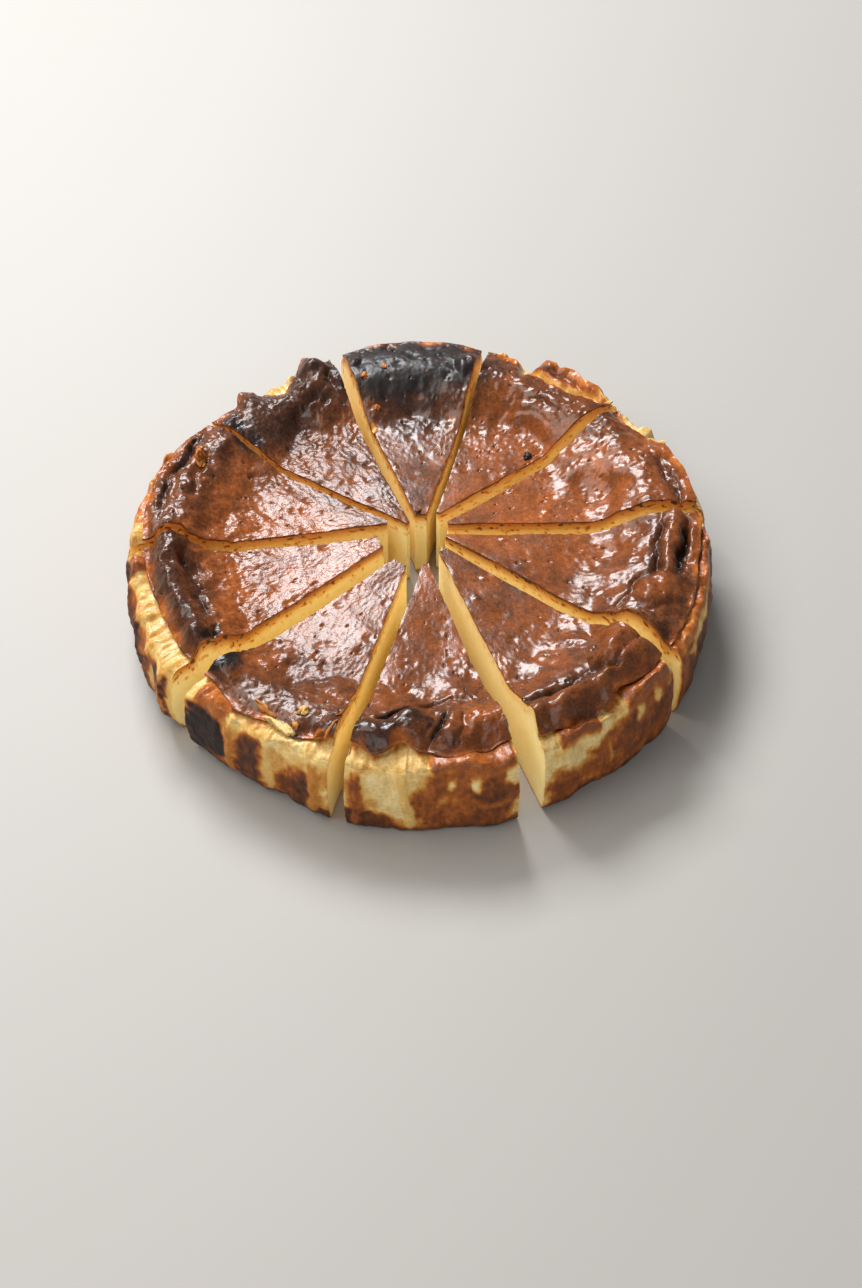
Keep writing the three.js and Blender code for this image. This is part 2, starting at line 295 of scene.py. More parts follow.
# Crumbs on the crust and the ledge: bearing, radius, size and how dark. A torn strip reaches to a
# second place.
CRUMBS = [
    dict(bearing=91, radius=21, size=1.1, brown=0.7),
    dict(bearing=50, radius=71, size=1.5, brown=1.0),
    dict(bearing=98.8, radius=98.6, size=1.1, brown=0.32),
    dict(bearing=104.4, radius=95.4, size=1.3, brown=0.36),
    dict(bearing=102.6, radius=82.2, size=1.0, brown=0.33),
    dict(bearing=155, radius=100, size=2.4, brown=0.36),
    dict(bearing=156.5, radius=98, size=1.5, brown=0.3),
    dict(bearing=244, radius=104.5, size=1.5, brown=0.28),
    dict(bearing=244, radius=97.5, size=1.6, brown=0.1),
    dict(bearing=243, radius=99.5, size=0.9, brown=0.2),
    dict(bearing=234, radius=102, size=1.4, brown=0.3, to=(238.5, 105)),
    dict(bearing=238, radius=105, size=1.8, brown=0.06, to=(244, 109)),
    dict(bearing=251.5, radius=107, size=0.8, brown=0.34, to=(252, 99)),
    dict(bearing=252, radius=97, size=0.7, brown=0.42, to=(252.4, 88)),
]

# Soft rectangular lights around the cake: bearing and height in degrees, size in metres, power in watts
LIGHTS = [
    dict(name="window", bearing=114, height=47, size=(0.75, 0.5), power=37, colour="#fbfbfd"),
    dict(name="left_window", bearing=174, height=60, size=(1.5, 0.8), power=17.5, colour="#fffcf6"),
    dict(name="front_fill", bearing=262, height=26, size=(1.4, 0.7), power=6.0, colour="#ffffff"),
]
LIGHT_AWAY = 1.6  # metres from the cake
ROOM_STRENGTH = 0.3

# The photograph's view
CAMERA_PLACE = (5.12, -589.9, 677.9)
CAMERA_ELEVATION = 50  # degrees above the floor
CAMERA_LENS = 60.1
CAMERA_SENSOR = 36

# Cells of the random field
CELLS = 256
rng = np.random.default_rng(20)
SHUFFLE = rng.permutation(CELLS)
ARROWS = rng.normal(size=(CELLS, 3))
ARROWS /= np.linalg.norm(ARROWS, axis=1, keepdims=True)


def mix(first, second, share):
    return first + (second - first) * share


def ease(value, low, high):
    """Goes smoothly from 0 at low to 1 at high"""
    share = np.clip((value - low) / (high - low), 0, 1)
    return share * share * (3 - 2 * share)


def hump(distance):
    """1 in the middle and 0 from distance 1 outwards"""
    return 1 - ease(np.abs(distance), 0, 1)


def turn_between(start, end):
    """The turn from one bearing to another, from -180 to 180 degrees"""
    return (end - start + 180) % 360 - 180


def grain(x, y, z, size, seed):
    """A smooth random field, from about -1 to 1, with lumps of the given size"""
    place = np.stack(np.broadcast_arrays(x, y, z), axis=-1) / size + seed * np.array([17.3, 31.7, 47.1])
    cell = np.floor(place).astype(int)
    part = place - cell
    fade = part**3 * (part * (part * 6 - 15) + 10)
    total = np.zeros(place.shape[:-1])
    for corner in np.ndindex(2, 2, 2):
        near = (cell + corner) % CELLS
        pick = SHUFFLE[near[..., 0]]
        pick = SHUFFLE[(pick + near[..., 1]) % CELLS]
        pick = SHUFFLE[(pick + near[..., 2]) % CELLS]
        slope = (ARROWS[pick] * (part - corner)).sum(axis=-1)
        weight = np.where(corner, fade, 1 - fade).prod(axis=-1)
        total += weight * slope
    return total * 1.6


def around_rim(key, bearing):
    """A value that the slices state, carried smoothly from the middle of one slice to the next"""
    stops = sorted((one["bearing"], one[key]) for one in SLICES)
    places = np.array([stop[0] for stop in stops])
    values = np.array([stop[1] for stop in stops])
    after = np.searchsorted(places, bearing % 360) % len(stops)
    before = after - 1
    share = ((bearing - places[before]) % 360) / ((places[after] - places[before]) % 360)
    return mix(values[before], values[after], ease(share, 0, 1))


def lip_radius(bearing):
    """Radius of the crust's outer edge"""
    lip = around_rim("lip", bearing)
    for bay in LIP_BAYS:
        lip = lip + bay["out"] * hump(turn_between(bay["bearing"], bearing) / bay["width"])
    return lip


def place_in(spot, x, y):
    """A point's place in a lump or scorch, lengthwise and crosswise, both 1 at its edge"""
    middle = math.radians(spot["bearing"])
    along = middle + math.pi / 2 - math.radians(spot.get("turn", 0))
    dx = x - spot["radius"] * math.cos(middle)
    dy = y - spot["radius"] * math.sin(middle)
    lengthwise = (dx * math.cos(along) + dy * math.sin(along)) / spot["length"]
    crosswise = (dy * math.cos(along) - dx * math.sin(along)) / spot["width"]
    return lengthwise, crosswise


def smooth_line(corners):
    """Points of a smooth line on the top through corners given as bearing and radius"""
    bearing, radius = np.array(corners, float).T
    bearing = np.radians(bearing)
    knots = np.stack([radius * np.cos(bearing), radius * np.sin(bearing)], axis=-1)
    ends = np.vstack([2 * knots[0] - knots[1], knots, 2 * knots[-1] - knots[-2]])
    steps = np.linspace(0, len(knots) - 1, 5 * (len(knots) - 1) + 1)
    i = np.minimum(steps.astype(int), len(knots) - 2)
    t = (steps - i)[:, None]
    a, b, c, d = ends[i], ends[i + 1], ends[i + 2], ends[i + 3]
    return b + 0.5 * t * (c - a + t * (2 * a - 5 * b + 4 * c - d + t * (3 * (b - c) + d - a)))


def place_on(line, x, y):
    """Distance of a point from a line, and its share of the way along it"""
    nearest = np.full_like(x, np.inf)
    share = np.zeros_like(x)
    count = len(line) - 1
    for i in range(count):
        step = line[i + 1] - line[i]
        t = ((x - line[i, 0]) * step[0] + (y - line[i, 1]) * step[1]) / (step @ step)
        t = np.clip(t, 0, 1)
        away = np.hypot(x - line[i, 0] - t * step[0], y - line[i, 1] - t * step[1])
        share = np.where(away < nearest, (i + t) / count, share)
        nearest = np.minimum(away, nearest)
    return nearest, share


def folds_near(x, y):
    """The folds that reach into an area of the top, with their distance in half widths and their taper"""
    for fold in FOLDS:
        line = smooth_line(fold["path"])
        reach_out = 3 * fold["width"]
        clear_x = line[:, 0].min() - reach_out > x.max() or line[:, 0].max() + reach_out < x.min()
        clear_y = line[:, 1].min() - reach_out > y.max() or line[:, 1].max() + reach_out < y.min()
        if clear_x or clear_y:
            continue
        away, share = place_on(line, x, y)
        taper = ease(share, -0.05, 0.2) * (1 - ease(share, 0.8, 1.05))
        if fold.get("blunt"):
            taper = np.ones_like(share)
        yield fold, away / fold["width"], taper


def fold_height(x, y):
    """Height that lumps and folds add at a point of the top: round rolls, and creases between round edges"""
    total = np.zeros_like(x)
    rolls = np.zeros_like(x)
    for lump in LUMPS:
        lengthwise, crosswise = place_in(lump, x, y)
        total += lump["height"] * np.clip(1 - lengthwise**2 - crosswise**2, 0, 1) ** 1.2
    uneven = 1 + 0.5 * grain(x, y, 0, 9, 51)
    for fold, away, taper in folds_near(x, y):
        taper = taper * uneven
        if fold["height"] > 0:
            rolls = np.maximum(rolls, fold["height"] * taper * np.clip(1 - away**2, 0, 1) ** 0.7)
        else:
            total += fold["height"] * taper * np.clip(1 - away, 0, 1) ** 2.2
    return total + rolls


def top_height(x, y):
    """Height of the top: a shallow dish, the rise to the rim, and the roll down to the lip"""
    radius = np.hypot(x, y)
    bearing = np.degrees(np.arctan2(y, x))
    rise = around_rim("crest", bearing) - DISH_HEIGHT
    start = around_rim("dish", bearing) - RISE_LEAD + 13 * grain(x, y, 0, 22, 9) + 6 * grain(x, y, 0, 9, 30)
    climb = rise * ease(radius, start, CREST_RADIUS) ** RISE_CURVE
    roll = around_rim("drop", bearing) * ease(radius, CREST_RADIUS, lip_radius(bearing)) ** 2
    sway = grain(x, y, 0, 9, 1) + 0.4 * grain(x, y, 0, 4, 8)
    swerve = grain(x, y, 0, 9, 2) + 0.4 * grain(x, y, 0, 4, 10)
    dish = DISH_HEIGHT + DOME * (1 - ease(radius, 0, DOME_RADIUS + 25 * grain(x, y, 0, 45, 65)))
    return dish + climb - roll + fold_height(x + 2 * sway, y + 2 * swerve)


def scatter(draw, count, x, y):
    """Random places on the top of one slice, picked from its own grid"""
    rows = draw.integers(0, x.shape[0], count)
    steps = (np.sqrt(draw.uniform(0.02, 0.95, count)) * x.shape[1]).astype(int)
    return x[rows, steps], y[rows, steps]


def crust_relief(x, y, one, draw):
    """Unevenness of the crust in millimetres, from wide swellings down to dents and pits. Also the pits"""
    radius = np.hypot(x, y)
    arc = np.arctan2(y, x) * CREST_RADIUS
    rim = ease(radius, *RIM_RING)
    bank = ease(radius, *BANK_RING)
    swell = 0.6 * grain(x, y, 0, 36, 2) + 0.5 * grain(x, y, 0, 15, 3)
    bumps = 0.12 * grain(x, y, 0, 6.5, 4) + 0.08 * grain(x, y, 0, 3.2, 5)
    grainy = mix(0.15 + 0.85 * one["bumps"], 0.75, ease(radius, *SMOOTH_RING))
    sparkle = 0.1 * grainy * grain(x, y, 0, 1.5, 6)
    wrinkles = 1 - 2 * np.abs(grain(arc / 2.2, radius, 0, 5, 7))
    lumps = 0.7 * grain(x, y, 0, 12, 28) + 0.4 * grain(x, y, 0, 6, 29) + 0.15 * wrinkles
    crinkle = 0.3 * grain(x, y, 0, 3.2, 52) + 0.25 * grain(x, y, 0, 1.7, 53)
    relief = (0.4 + 0.6 * one["bumps"]) * swell + (0.2 + 0.8 * one["bumps"]) * bumps + sparkle
    relief = relief + bank * (0.1 + 0.5 * one["lumpy"] + 0.5 * one["bumps"]) * crinkle
    shrivel = 0.3 * ease(one["bumps"], 0.6, 1) * ease(radius, *SHRIVEL_RING)
    relief = relief + rim * one["lumpy"] * lumps - shrivel * np.abs(grain(x, y, 0, 2.6, 67))
    rough = mix(0.2 + 0.8 * one["bumps"], 1, bank)
    pits = np.zeros_like(x)
    for cx, cy in zip(*scatter(draw, PITS, x, y)):
        size = draw.uniform(0.5, 1.1)
        pits = np.maximum(pits, hump(np.hypot(x - cx, y - cy) / size))
    for cx, cy in zip(*scatter(draw, DENTS, x, y)):
        size = draw.uniform(1, 1.9) ** 2
        relief = relief - 0.17 * rough * size * hump(np.hypot(x - cx, y - cy) / size)
    for cx, cy in zip(*scatter(draw, int(BLISTERS * one["lumpy"]), x, y)):
        size = draw.uniform(1.2, 3)
        relief = relief + 0.18 * size * hump(np.hypot(x - cx, y - cy) / size)
    return relief - 0.7 * pits, pits


def crust_brown(x, y, relief, pits):
    """How dark the crust is, from 0, unbaked cream, to 1, charred, with painted shade in pits and creases,
    and where charring took its gloss
    """
    radius = np.hypot(x, y)
    bearing = np.degrees(np.arctan2(y, x))
    cloud = 0.08 * grain(x, y, 0, 16, 11) + 0.07 * grain(x, y, 0, 5, 12) + 0.06 * grain(x, y, 0, 2, 13)
    # Pits add brown: painted shade in the small holes, besides their sunken shape
    brown = around_rim("brown", bearing) + cloud + 0.05 * relief + 0.28 * pits
    brown = brown + 0.08 * ease(radius, *DARK_RING)
    dull = np.zeros_like(x)
    sway = grain(x, y, 0, 8, 14) + 0.5 * grain(x, y, 0, 3, 15)
    swerve = grain(x, y, 0, 8, 16) + 0.5 * grain(x, y, 0, 3, 17)
    for scorch in SCORCHES:
        lengthwise, crosswise = place_in(scorch, x + 3 * sway, y + 3 * swerve)
        share = 1 - ease(np.hypot(lengthwise, crosswise), 0.5, 1.25)
        brown = mix(brown, scorch["brown"] + 0.5 * cloud, share)
        dull = np.maximum(dull, scorch.get("dull", 0) * share)
    # Folds bring their own brown. On the creases it is partly painted shade in the hollow
    for fold, away, taper in folds_near(x + sway, y + swerve):
        if "brown" in fold:
            brown = mix(brown, fold["brown"] + 0.5 * cloud, taper * (1 - ease(away, 0.2, 1.1)))
    flecks = ease(grain(x, y, 0, 1.5, 18), 0.55, 0.75) * ease(brown, 0.85, 0.95)
    brown = mix(brown, 0.35, flecks)
    to_lip = lip_radius(bearing) - radius
    gold = ease(grain(bearing / 6, 0, 0, 1, 20), -0.3, 0.5)
    return mix(brown, 0.38 + cloud, gold * (1 - ease(to_lip + 1.5 * sway, 0.5, 4))), dull


def pleat_shares(bearing, height):
    """The pleats of the side, each with its share at every place: 1 on its crest and 0 beside it"""
    wander = 1.5 * grain(bearing / 8, height / 14, 0, 1, 62) + 0.4 * grain(bearing / 2, height / 4, 0, 1, 63)
    for pleat in PLEATS:
        away = turn_between(pleat["bearing"], bearing + wander) / pleat["width"]
        yield pleat, np.clip(1 - np.abs(away), 0, 1) ** 1.3


def paper_creases(bearing, height):
    """Radial offset of the side where it was baked against creased paper: facets, sharp creases and pleats"""
    total = np.zeros_like(bearing)
    wander = 2.2 * grain(bearing / 6, height / 18, 0, 1, 21) + 0.8 * grain(bearing / 3, height / 6, 0, 1, 64)
    for seed, count, depth in ((1, 26, 1.5), (2, 80, 0.9), (3, 190, 0.5)):
        draw = np.random.default_rng(seed)
        places = np.cumsum(draw.uniform(0.5, 1.5, count))
        places = places / places[-1] * 360
        depths = depth * draw.uniform(-1, 1, count)
        total += np.interp(bearing + wander, places, depths, period=360)
    for pleat, share in pleat_shares(bearing, height):
        total += pleat["out"] * share * ease(height, 1, 9)
    return total


def ledge_lumps(bearing):
    """The lumps on the ledge: their rise, how much of each place they take, and how dark they are"""
    rise = np.zeros_like(bearing)
    cover = np.zeros_like(bearing)
    brown = np.zeros_like(bearing)
    for lump in LEDGE_LUMPS:
        across = np.radians(turn_between(lump["bearing"], bearing)) * BEARING_RADIUS
        share = np.clip(1 - (across / lump["wide"]) ** 2, 0, 1) ** 0.7
        rise = rise + lump["rise"] * share
        brown = np.where(share > cover, lump["brown"], brown)
        cover = np.maximum(cover, share)
    return rise, cover, brown


def side_rows(bearing, lip_height):
    """The side's outline from the base up to the lip: radius and height for each row, at each bearing"""
    lip = lip_radius(bearing) + 0.8 * grain(bearing / 5, 0, 0, 1, 22)
    wall = np.maximum(around_rim("wall", bearing), lip + 1)
    foot = np.minimum(around_rim("foot", bearing), wall)
    torn = 1.0 * grain(bearing / 5, 0, 0, 1, 23) + 0.4 * grain(bearing / 2, 0, 0, 1, 27)
    ledge = np.minimum(around_rim("ledge", bearing) + torn, lip_height - SHOULDER_DROP)
    shoulder = np.maximum(wall - SHOULDER_INSET, lip + 0.6)
    rise, cover, _ = ledge_lumps(bearing)
    outline = [
        (0.0, foot, 0 * foot),
        (0.05, foot + 1.1, 1.2 + 0 * foot),
        (0.13, mix(foot, wall, 0.75), 7 + 0 * foot),
        (0.32, wall, 0.5 * ledge),
        (0.47, mix(wall, shoulder, 0.5), ledge - 6),
        (0.56, shoulder, ledge - SHOULDER_DROP),
        (0.60, shoulder - 1.2 + 0.7 * cover, ledge - 0.5),
        (0.66, mix(shoulder, lip, 0.6), ledge),
        (TUCK_ROW, lip - TUCK, ledge + 0.3),
        (0.80, lip - 0.5, mix(ledge, lip_height, 0.45)),
        (0.91, lip + 0.5, mix(ledge, lip_height, 0.8)),
        (1.0, lip, lip_height),
    ]
    stops = [row[0] for row in outline]
    rows = np.linspace(0, 1, UP + 1)
    radius = np.zeros((len(bearing), UP + 1))
    height = np.zeros((len(bearing), UP + 1))
    for i, (_, out, up) in enumerate(outline):
        pick = np.zeros(len(outline))
        pick[i] = 1
        share = np.mean([np.interp(rows + nudge, stops, pick) for nudge in (-0.02, 0, 0.02)], axis=0)
        share[0] = pick[0]
        share[-1] = pick[-1]
        radius += out[:, None] * share
        height += up[:, None] * share
    arc = np.radians(bearing)[:, None] * BEARING_RADIUS
    on_ledge = ease(rows, 0.5, 0.6) * (1 - ease(rows, 0.64, TUCK_ROW))
    tatter = 1.5 * grain(arc, ROWS_TALL * rows, 0, 4.5, 49) + 0.7 * grain(arc, ROWS_TALL * rows, 0, 2, 54)
    roll = np.sin(math.pi * np.clip((rows - 0.53) / (TUCK_ROW - 0.53), 0, 1)) ** 0.8
    return radius + 0.15 * rise[:, None] * roll, height + on_ledge * tatter + rise[:, None] * roll


def side_relief(bearing, height, rows):
    """Radial unevenness of the side and the lip in millimetres"""
    arc = np.radians(bearing) * BEARING_RADIUS
    side = 1 - ease(rows, 0.5, TUCK_ROW)
    lip = ease(rows, TUCK_ROW, 0.8) * (1 - ease(rows, 0.9, 1))
    lumps = 0.5 * grain(arc, height, 0, 9, 24) + 0.35 * grain(arc, height, 0, 3.5, 25)
    fine = 0.18 * grain(arc, height, 0, 1.7, 26)
    return side * (paper_creases(bearing, height) + 0.7 * lumps + fine) + lip * (lumps + fine)


def side_brown(bearing, height, rows, bulge):
    """How dark the side is: pale in hollows, browned where it met the hot paper. Also where it is slick"""
    arc = np.radians(bearing) * BEARING_RADIUS
    cloud = grain(arc, height, 0, 7, 31) + 0.6 * grain(arc, height, 0, 2.5, 32)
    fine = grain(arc, height, 0, 1.2, 55)
    streak = grain(arc, height / 4, 0, 1.8, 39)
    warp = 4.5 * grain(arc, height, 0, 11, 58) + 2.2 * grain(arc, height, 0, 4.5, 59)
    lift = 4.5 * grain(arc, height, 0, 11, 60) + 2.2 * grain(arc, height, 0, 4.5, 61)
    torn = 1.2 * grain(arc, height, 0, 2.2, 36) + 0.7 * grain(arc, height, 0, 1, 38) + 0.8 * bulge
    blush = ease(grain(arc, height, 0, 11, 50) + 0.3 * bulge, 0, 0.7)
    brown = 0.06 + 0.03 * cloud + 0.03 * streak + 0.2 * blush
    shown = 1 - ease(np.abs(turn_between(SHOWN_BEARING, bearing)), *SHOWN_REACH)
    blot = 10 * grain(arc / 1.1, height, 3, 20, 33) + 4 * grain(arc, height, 3, 6, 34) + 1
    seared = ease(blot + torn, -1.2, 1.8) * (1 - shown)
    brown = np.maximum(brown, 0.3 * ease(blot + torn, -5, 0) * (1 - shown))
    brown = mix(brown, 0.64, seared)
    for stain in SIDE_STAINS:
        small = min(stain["wide"], stain["tall"])
        loose = min(1, small / 8)
        across = np.radians(turn_between(stain["bearing"], bearing)) * BEARING_RADIUS + loose * warp
        above = height - stain["height"] + loose * lift
        across = across - above * math.tan(math.radians(stain.get("lean", 0)))
        inside = np.hypot(across / stain["wide"], above / stain["tall"])
        depth = (1 - inside) * small + torn * min(1, small / 4)
        if stain["brown"] > SEARED:
            brown = np.maximum(brown, 0.34 * ease(depth + cloud, -5, 0.5))
        brown = mix(brown, stain["brown"], ease(depth, -0.8, 1.8))
    for pleat, share in pleat_shares(bearing, height):
        brown = mix(brown, pleat["brown"], ease(share + 0.15 * torn, 0.2, 0.7))
    brown = mix(brown, 0.74, 0.85 * (1 - ease(height + torn + 0.5 * lift, 1, 5)))
    uneven = 0.13 * cloud + 0.08 * streak + 0.08 * fine + 0.05 * bulge
    brown = brown + uneven * ease(brown, 0.15, 0.5)
    ledge = ease(rows + 0.01 * torn, 0.5, 0.58) * (1 - ease(rows, TUCK_ROW, 0.8))
    patch = grain(arc, ROWS_TALL * rows, 0, 5, 56) + 0.6 * grain(arc, ROWS_TALL * rows, 0, 1.8, 57)
    toast = 0.09 + 0.06 * patch + 0.28 * ease(patch + 1.3 * ease(rows, 0.62, TUCK_ROW), 0.4, 1.7)
    brown = mix(brown, toast, ledge)
    _, cover, lump_brown = ledge_lumps(bearing)
    on_lump = ledge * ease(cover + 0.25 * patch, 0.15, 0.5)
    brown = mix(brown, lump_brown + 0.08 * patch, on_lump)
    dark = ease(grain(bearing / 6, 0, 0, 1, 20), -0.3, 0.5)
    lip = ease(rows, TUCK_ROW, 0.85)
    return mix(brown, mix(0.68, 0.36, dark) + 0.1 * cloud, lip), np.maximum(0.6 * on_lump, 0.4 * lip)


def reach(point, direction, radius):
    """Distance from a slice's point, in a direction, to a ring around the middle of the cake"""
    ahead = direction @ point
    return np.sqrt(ahead**2 - point @ point + radius.T**2).T - ahead.reshape((-1,) + (1,) * (radius.ndim - 1))


def new_object(name, data):
    """An object at the origin, linked to the scene"""
    new = bpy.data.objects.new(name, data)
    bpy.context.collection.objects.link(new)
    return new


def slice_blank():
    """A finely divided box, its sides marked as crust, side, cut and base"""
    shape = bmesh.new()
    bmesh.ops.create_cube(shape, size=1)
    for axis, parts in enumerate((ACROSS, ALONG, UP)):
        edges = [e for e in shape.edges if abs(e.verts[0].co[axis] - e.verts[1].co[axis]) > 0.5]
        bmesh.ops.subdivide_edges(shape, edges=edges, cuts=parts - 1, use_grid_fill=True)
    for face in shape.faces:
        face.smooth = True
        middle = face.calc_center_median()
        if middle.z > FACE or (middle.y > FACE and middle.z + 0.5 > LEDGE_ROW):
            face.material_index = CRUST
        elif middle.y > FACE or middle.z < -FACE:
            face.material_index = SIDE
        else:
            face.material_index = CUT
    base = [face for face in shape.faces if face.calc_center_median().z < -FACE]
    for edge in shape.edges:
        kinds = {face.material_index for face in edge.link_faces}
        turned = edge.link_faces[0].normal.dot(edge.link_faces[1].normal) < 0.5
        edge.smooth = not (turned and (CUT in kinds or edge.verts[0].co.z < -FACE))
    bmesh.ops.dissolve_faces(shape, faces=base)
    return shape


def slice_piece(blank, number, one, materials):
    """One slice: the blank's vertices are carried to the wedge between its two cuts, then browned"""
    draw = np.random.default_rng(100 + number)
    mesh = bpy.data.meshes.new(f"slice_{number:02d}_baked")
    blank.to_mesh(mesh)
    box = np.empty(len(mesh.vertices) * 3)
    mesh.vertices.foreach_get("co", box)
    i, j, k = np.rint((box.reshape(-1, 3) + 0.5) * (ACROSS, ALONG, UP)).astype(int).T

    across = np.linspace(0, 1, ACROSS + 1)
    along = 1 - (1 - np.linspace(0, 1, ALONG + 1)) ** RIM_CROWDING
    rows = np.linspace(0, 1, UP + 1)
    point = np.array(one["point"])
    heading = np.radians(one["bearing"] + (0.5 - across) * one["spread"])
    direction = np.stack([np.cos(heading), np.sin(heading)], axis=-1)
    outer = point + direction * reach(point, direction, np.full(ACROSS + 1, BEARING_RADIUS))[:, None]
    bearing = np.degrees(np.arctan2(outer[:, 1], outer[:, 0]))

    lip_reach = reach(point, direction, lip_radius(bearing))
    far = mix(one["blunt"], lip_reach[:, None], along)
    x = point[0] + far * direction[:, :1]
    y = point[1] + far * direction[:, 1:]
    relief, pits = crust_relief(x, y, one, draw)
    to_cut = np.minimum(across, 1 - across)[:, None] * math.radians(one["spread"]) * far
    pressed = np.exp(-to_cut / 0.6) * (0.04 + 0.14 * grain(x, y, 0, 4, 41))
    top = top_height(x, y) + relief - pressed
    crust, dull = crust_brown(x, y, relief, pits)

    radius, height = side_rows(bearing, top[:, -1])
    around = np.repeat(bearing[:, None], UP + 1, axis=1)
    bulge = side_relief(around, height, rows)
    side_reach = reach(point, direction, radius + bulge)
    side, side_gloss = side_brown(around, height, rows, bulge)
    level = height / top[:, -1:]

    distance = mix(one["blunt"], side_reach[i, k], along[j])
    ceiling = top[i, j]
    for edge in (0, ACROSS):
        on_cut = i == edge
        reached = mix(one["blunt"], side_reach[edge, UP], along)
        ceiling[on_cut] = np.interp(distance[on_cut], reached, top[edge])
    z = level[i, k] * ceiling
    rough_x = point[0] + distance * direction[i, 0]
    rough_y = point[1] + distance * direction[i, 1]
    below = ceiling - z
    crumble = 0.12 + 0.3 * ease(grain(rough_x, rough_y, z, 2.4, 42), 0.1, 0.6)
    wave = 0.3 + 0.3 * grain(rough_x, rough_y, z, 22, 43) + 0.06 * grain(rough_x, rough_y, z, 2, 44)
    near_cut = np.exp(-(to_cut[i, j] / 2.5) ** 2) * ease(distance, 3, 18)
    inward = (wave + crumble * np.exp(-below / 1.2)) * near_cut
    bend = np.where(i < ACROSS / 2, -1, 1) * inward / distance
    place = np.stack([
        point[0] + distance * np.cos(heading[i] + bend),
        point[1] + distance * np.sin(heading[i] + bend),
        z,
    ], axis=-1)
    mesh.vertices.foreach_set("co", (place * MM).ravel())

    thick = 1.05 + 0.7 * grain(rough_x, rough_y, 0, 5, 45)
    deep = 3.6 + 1.6 * ease(distance, 60, 95)
    skin = np.maximum(0.66 * np.exp(-(below / thick) ** 4), one["tan"] * np.exp(-(below / deep) ** 2))
    smear = grain(rough_x, rough_y, 1.6 * z, 3.2, 66) + 0.7 * grain(rough_x, rough_y, z, 1.2, 46)
    specks = ease(smear, 0.3, 0.75) * np.exp(-(below / (1.5 * deep)) ** 2)
    outside = np.exp(-(side_reach[i, k] - distance) / 0.5) * side[i, k]
    bottom = 0.55 * np.exp(-z / 0.5)
    cut = np.maximum.reduce([skin, 2.5 * one["tan"] * specks, outside, bottom])
    brown = np.where(j == ALONG, side[i, k], cut)
    brown = np.where(k == UP, crust[i, j], brown)
    gloss = around_rim("gloss", np.degrees(np.arctan2(y, x))) + 0.15 * grain(x, y, 0, 9, 47)
    gloss = np.clip(gloss + 0.1 * (1 - ease(np.hypot(x, y), *SMOOTH_RING)) - dull, 0, 1)
    sheen = np.where(k == UP, gloss[i, j], side_gloss[i, k])
    uneven = around_rim("bumps", np.degrees(np.arctan2(rough_y, rough_x)))
    grit = np.where(k == UP, 0.25 + 0.75 * uneven, 1)
    for name, values in (("brown", brown), ("sheen", sheen), ("grit", grit)):
        layer = mesh.attributes.new(name, "FLOAT", "POINT")
        layer.data.foreach_set("value", values.astype(np.float32))
    for material in materials:
        mesh.materials.append(material)
    mesh.update()
    piece = new_object(f"slice_{number:02d}_baked", mesh)
    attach(piece, "root")
    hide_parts(f"slice_{number:02d}")


def linear(colour):
    """An sRGB hex colour as linear red, green, blue and alpha"""
    parts = [int(colour[i:i + 2], 16) / 255 for i in (1, 3, 5)]
    return [c / 12.92 if c <= 0.04045 else ((c + 0.055) / 1.055) ** 2.4 for c in parts] + [1]


def add(tree, kind, inputs=None, **settings):
    """Adds a node with its settings. inputs holds a value or another node's output for its sockets"""
    new = tree.nodes.new("ShaderNode" + kind)
    for name, value in settings.items():
        setattr(new, name, value)
    for socket, value in (inputs or {}).items():
        if isinstance(value, bpy.types.NodeSocket):
            tree.links.new(value, new.inputs[socket])
        else:
            new.inputs[socket].default_value = value
    return new


def new_material(name):
    """An empty node material with its shader and object coordinates"""
    material = bpy.data.materials.new(name)
    material.use_nodes = True
    tree = material.node_tree
    tree.nodes.clear()
    shader = add(tree, "BsdfPrincipled")
    add(tree, "OutputMaterial", {"Surface": shader.outputs["BSDF"]})
    coords = add(tree, "TexCoord").outputs["Object"]
    return material, tree, shader, coords


# Colours of baking, from golden to charred
TOAST = [
    (0.36, "#ad6126"),
    (0.50, "#88481f"),
    (0.62, "#6b3a1b"),
    (0.74, "#4a2917"),
    (0.87, "#291b16"),
    (1.00, "#171514"),
]


def toasted(tree, coords, pale, mottle_mm, mottle):
    """Colour of baking by the piece's own browning, from three pale tones on, finely mottled"""
    brown = add(tree, "Attribute", attribute_name="brown").outputs["Fac"]
    speckle = add(tree, "TexNoise", {"Vector": coords, "Scale": 1 / (mottle_mm * MM), "Detail": 4.0,
                                     "Roughness": 0.6})
    shift = add(tree, "MapRange", {"Value": speckle.outputs["Fac"], "From Min": 0.3, "From Max": 0.7,
                                   "To Min": -mottle, "To Max": mottle})
    level = add(tree, "Math", {0: brown, 1: shift.outputs["Result"]}, operation="ADD", use_clamp=True)
    ramp = add(tree, "ValToRGB", {"Fac": level.outputs["Value"]})
    stops = ramp.color_ramp.elements
    stops[0].color = linear(pale[0])
    stops[1].position = TOAST[-1][0]
    stops[1].color = linear(TOAST[-1][1])
    for place, colour in [(0.10, pale[1]), (0.24, pale[2])] + TOAST[:-1]:
        stops.new(place).color = linear(colour)
    return ramp.outputs["Color"]


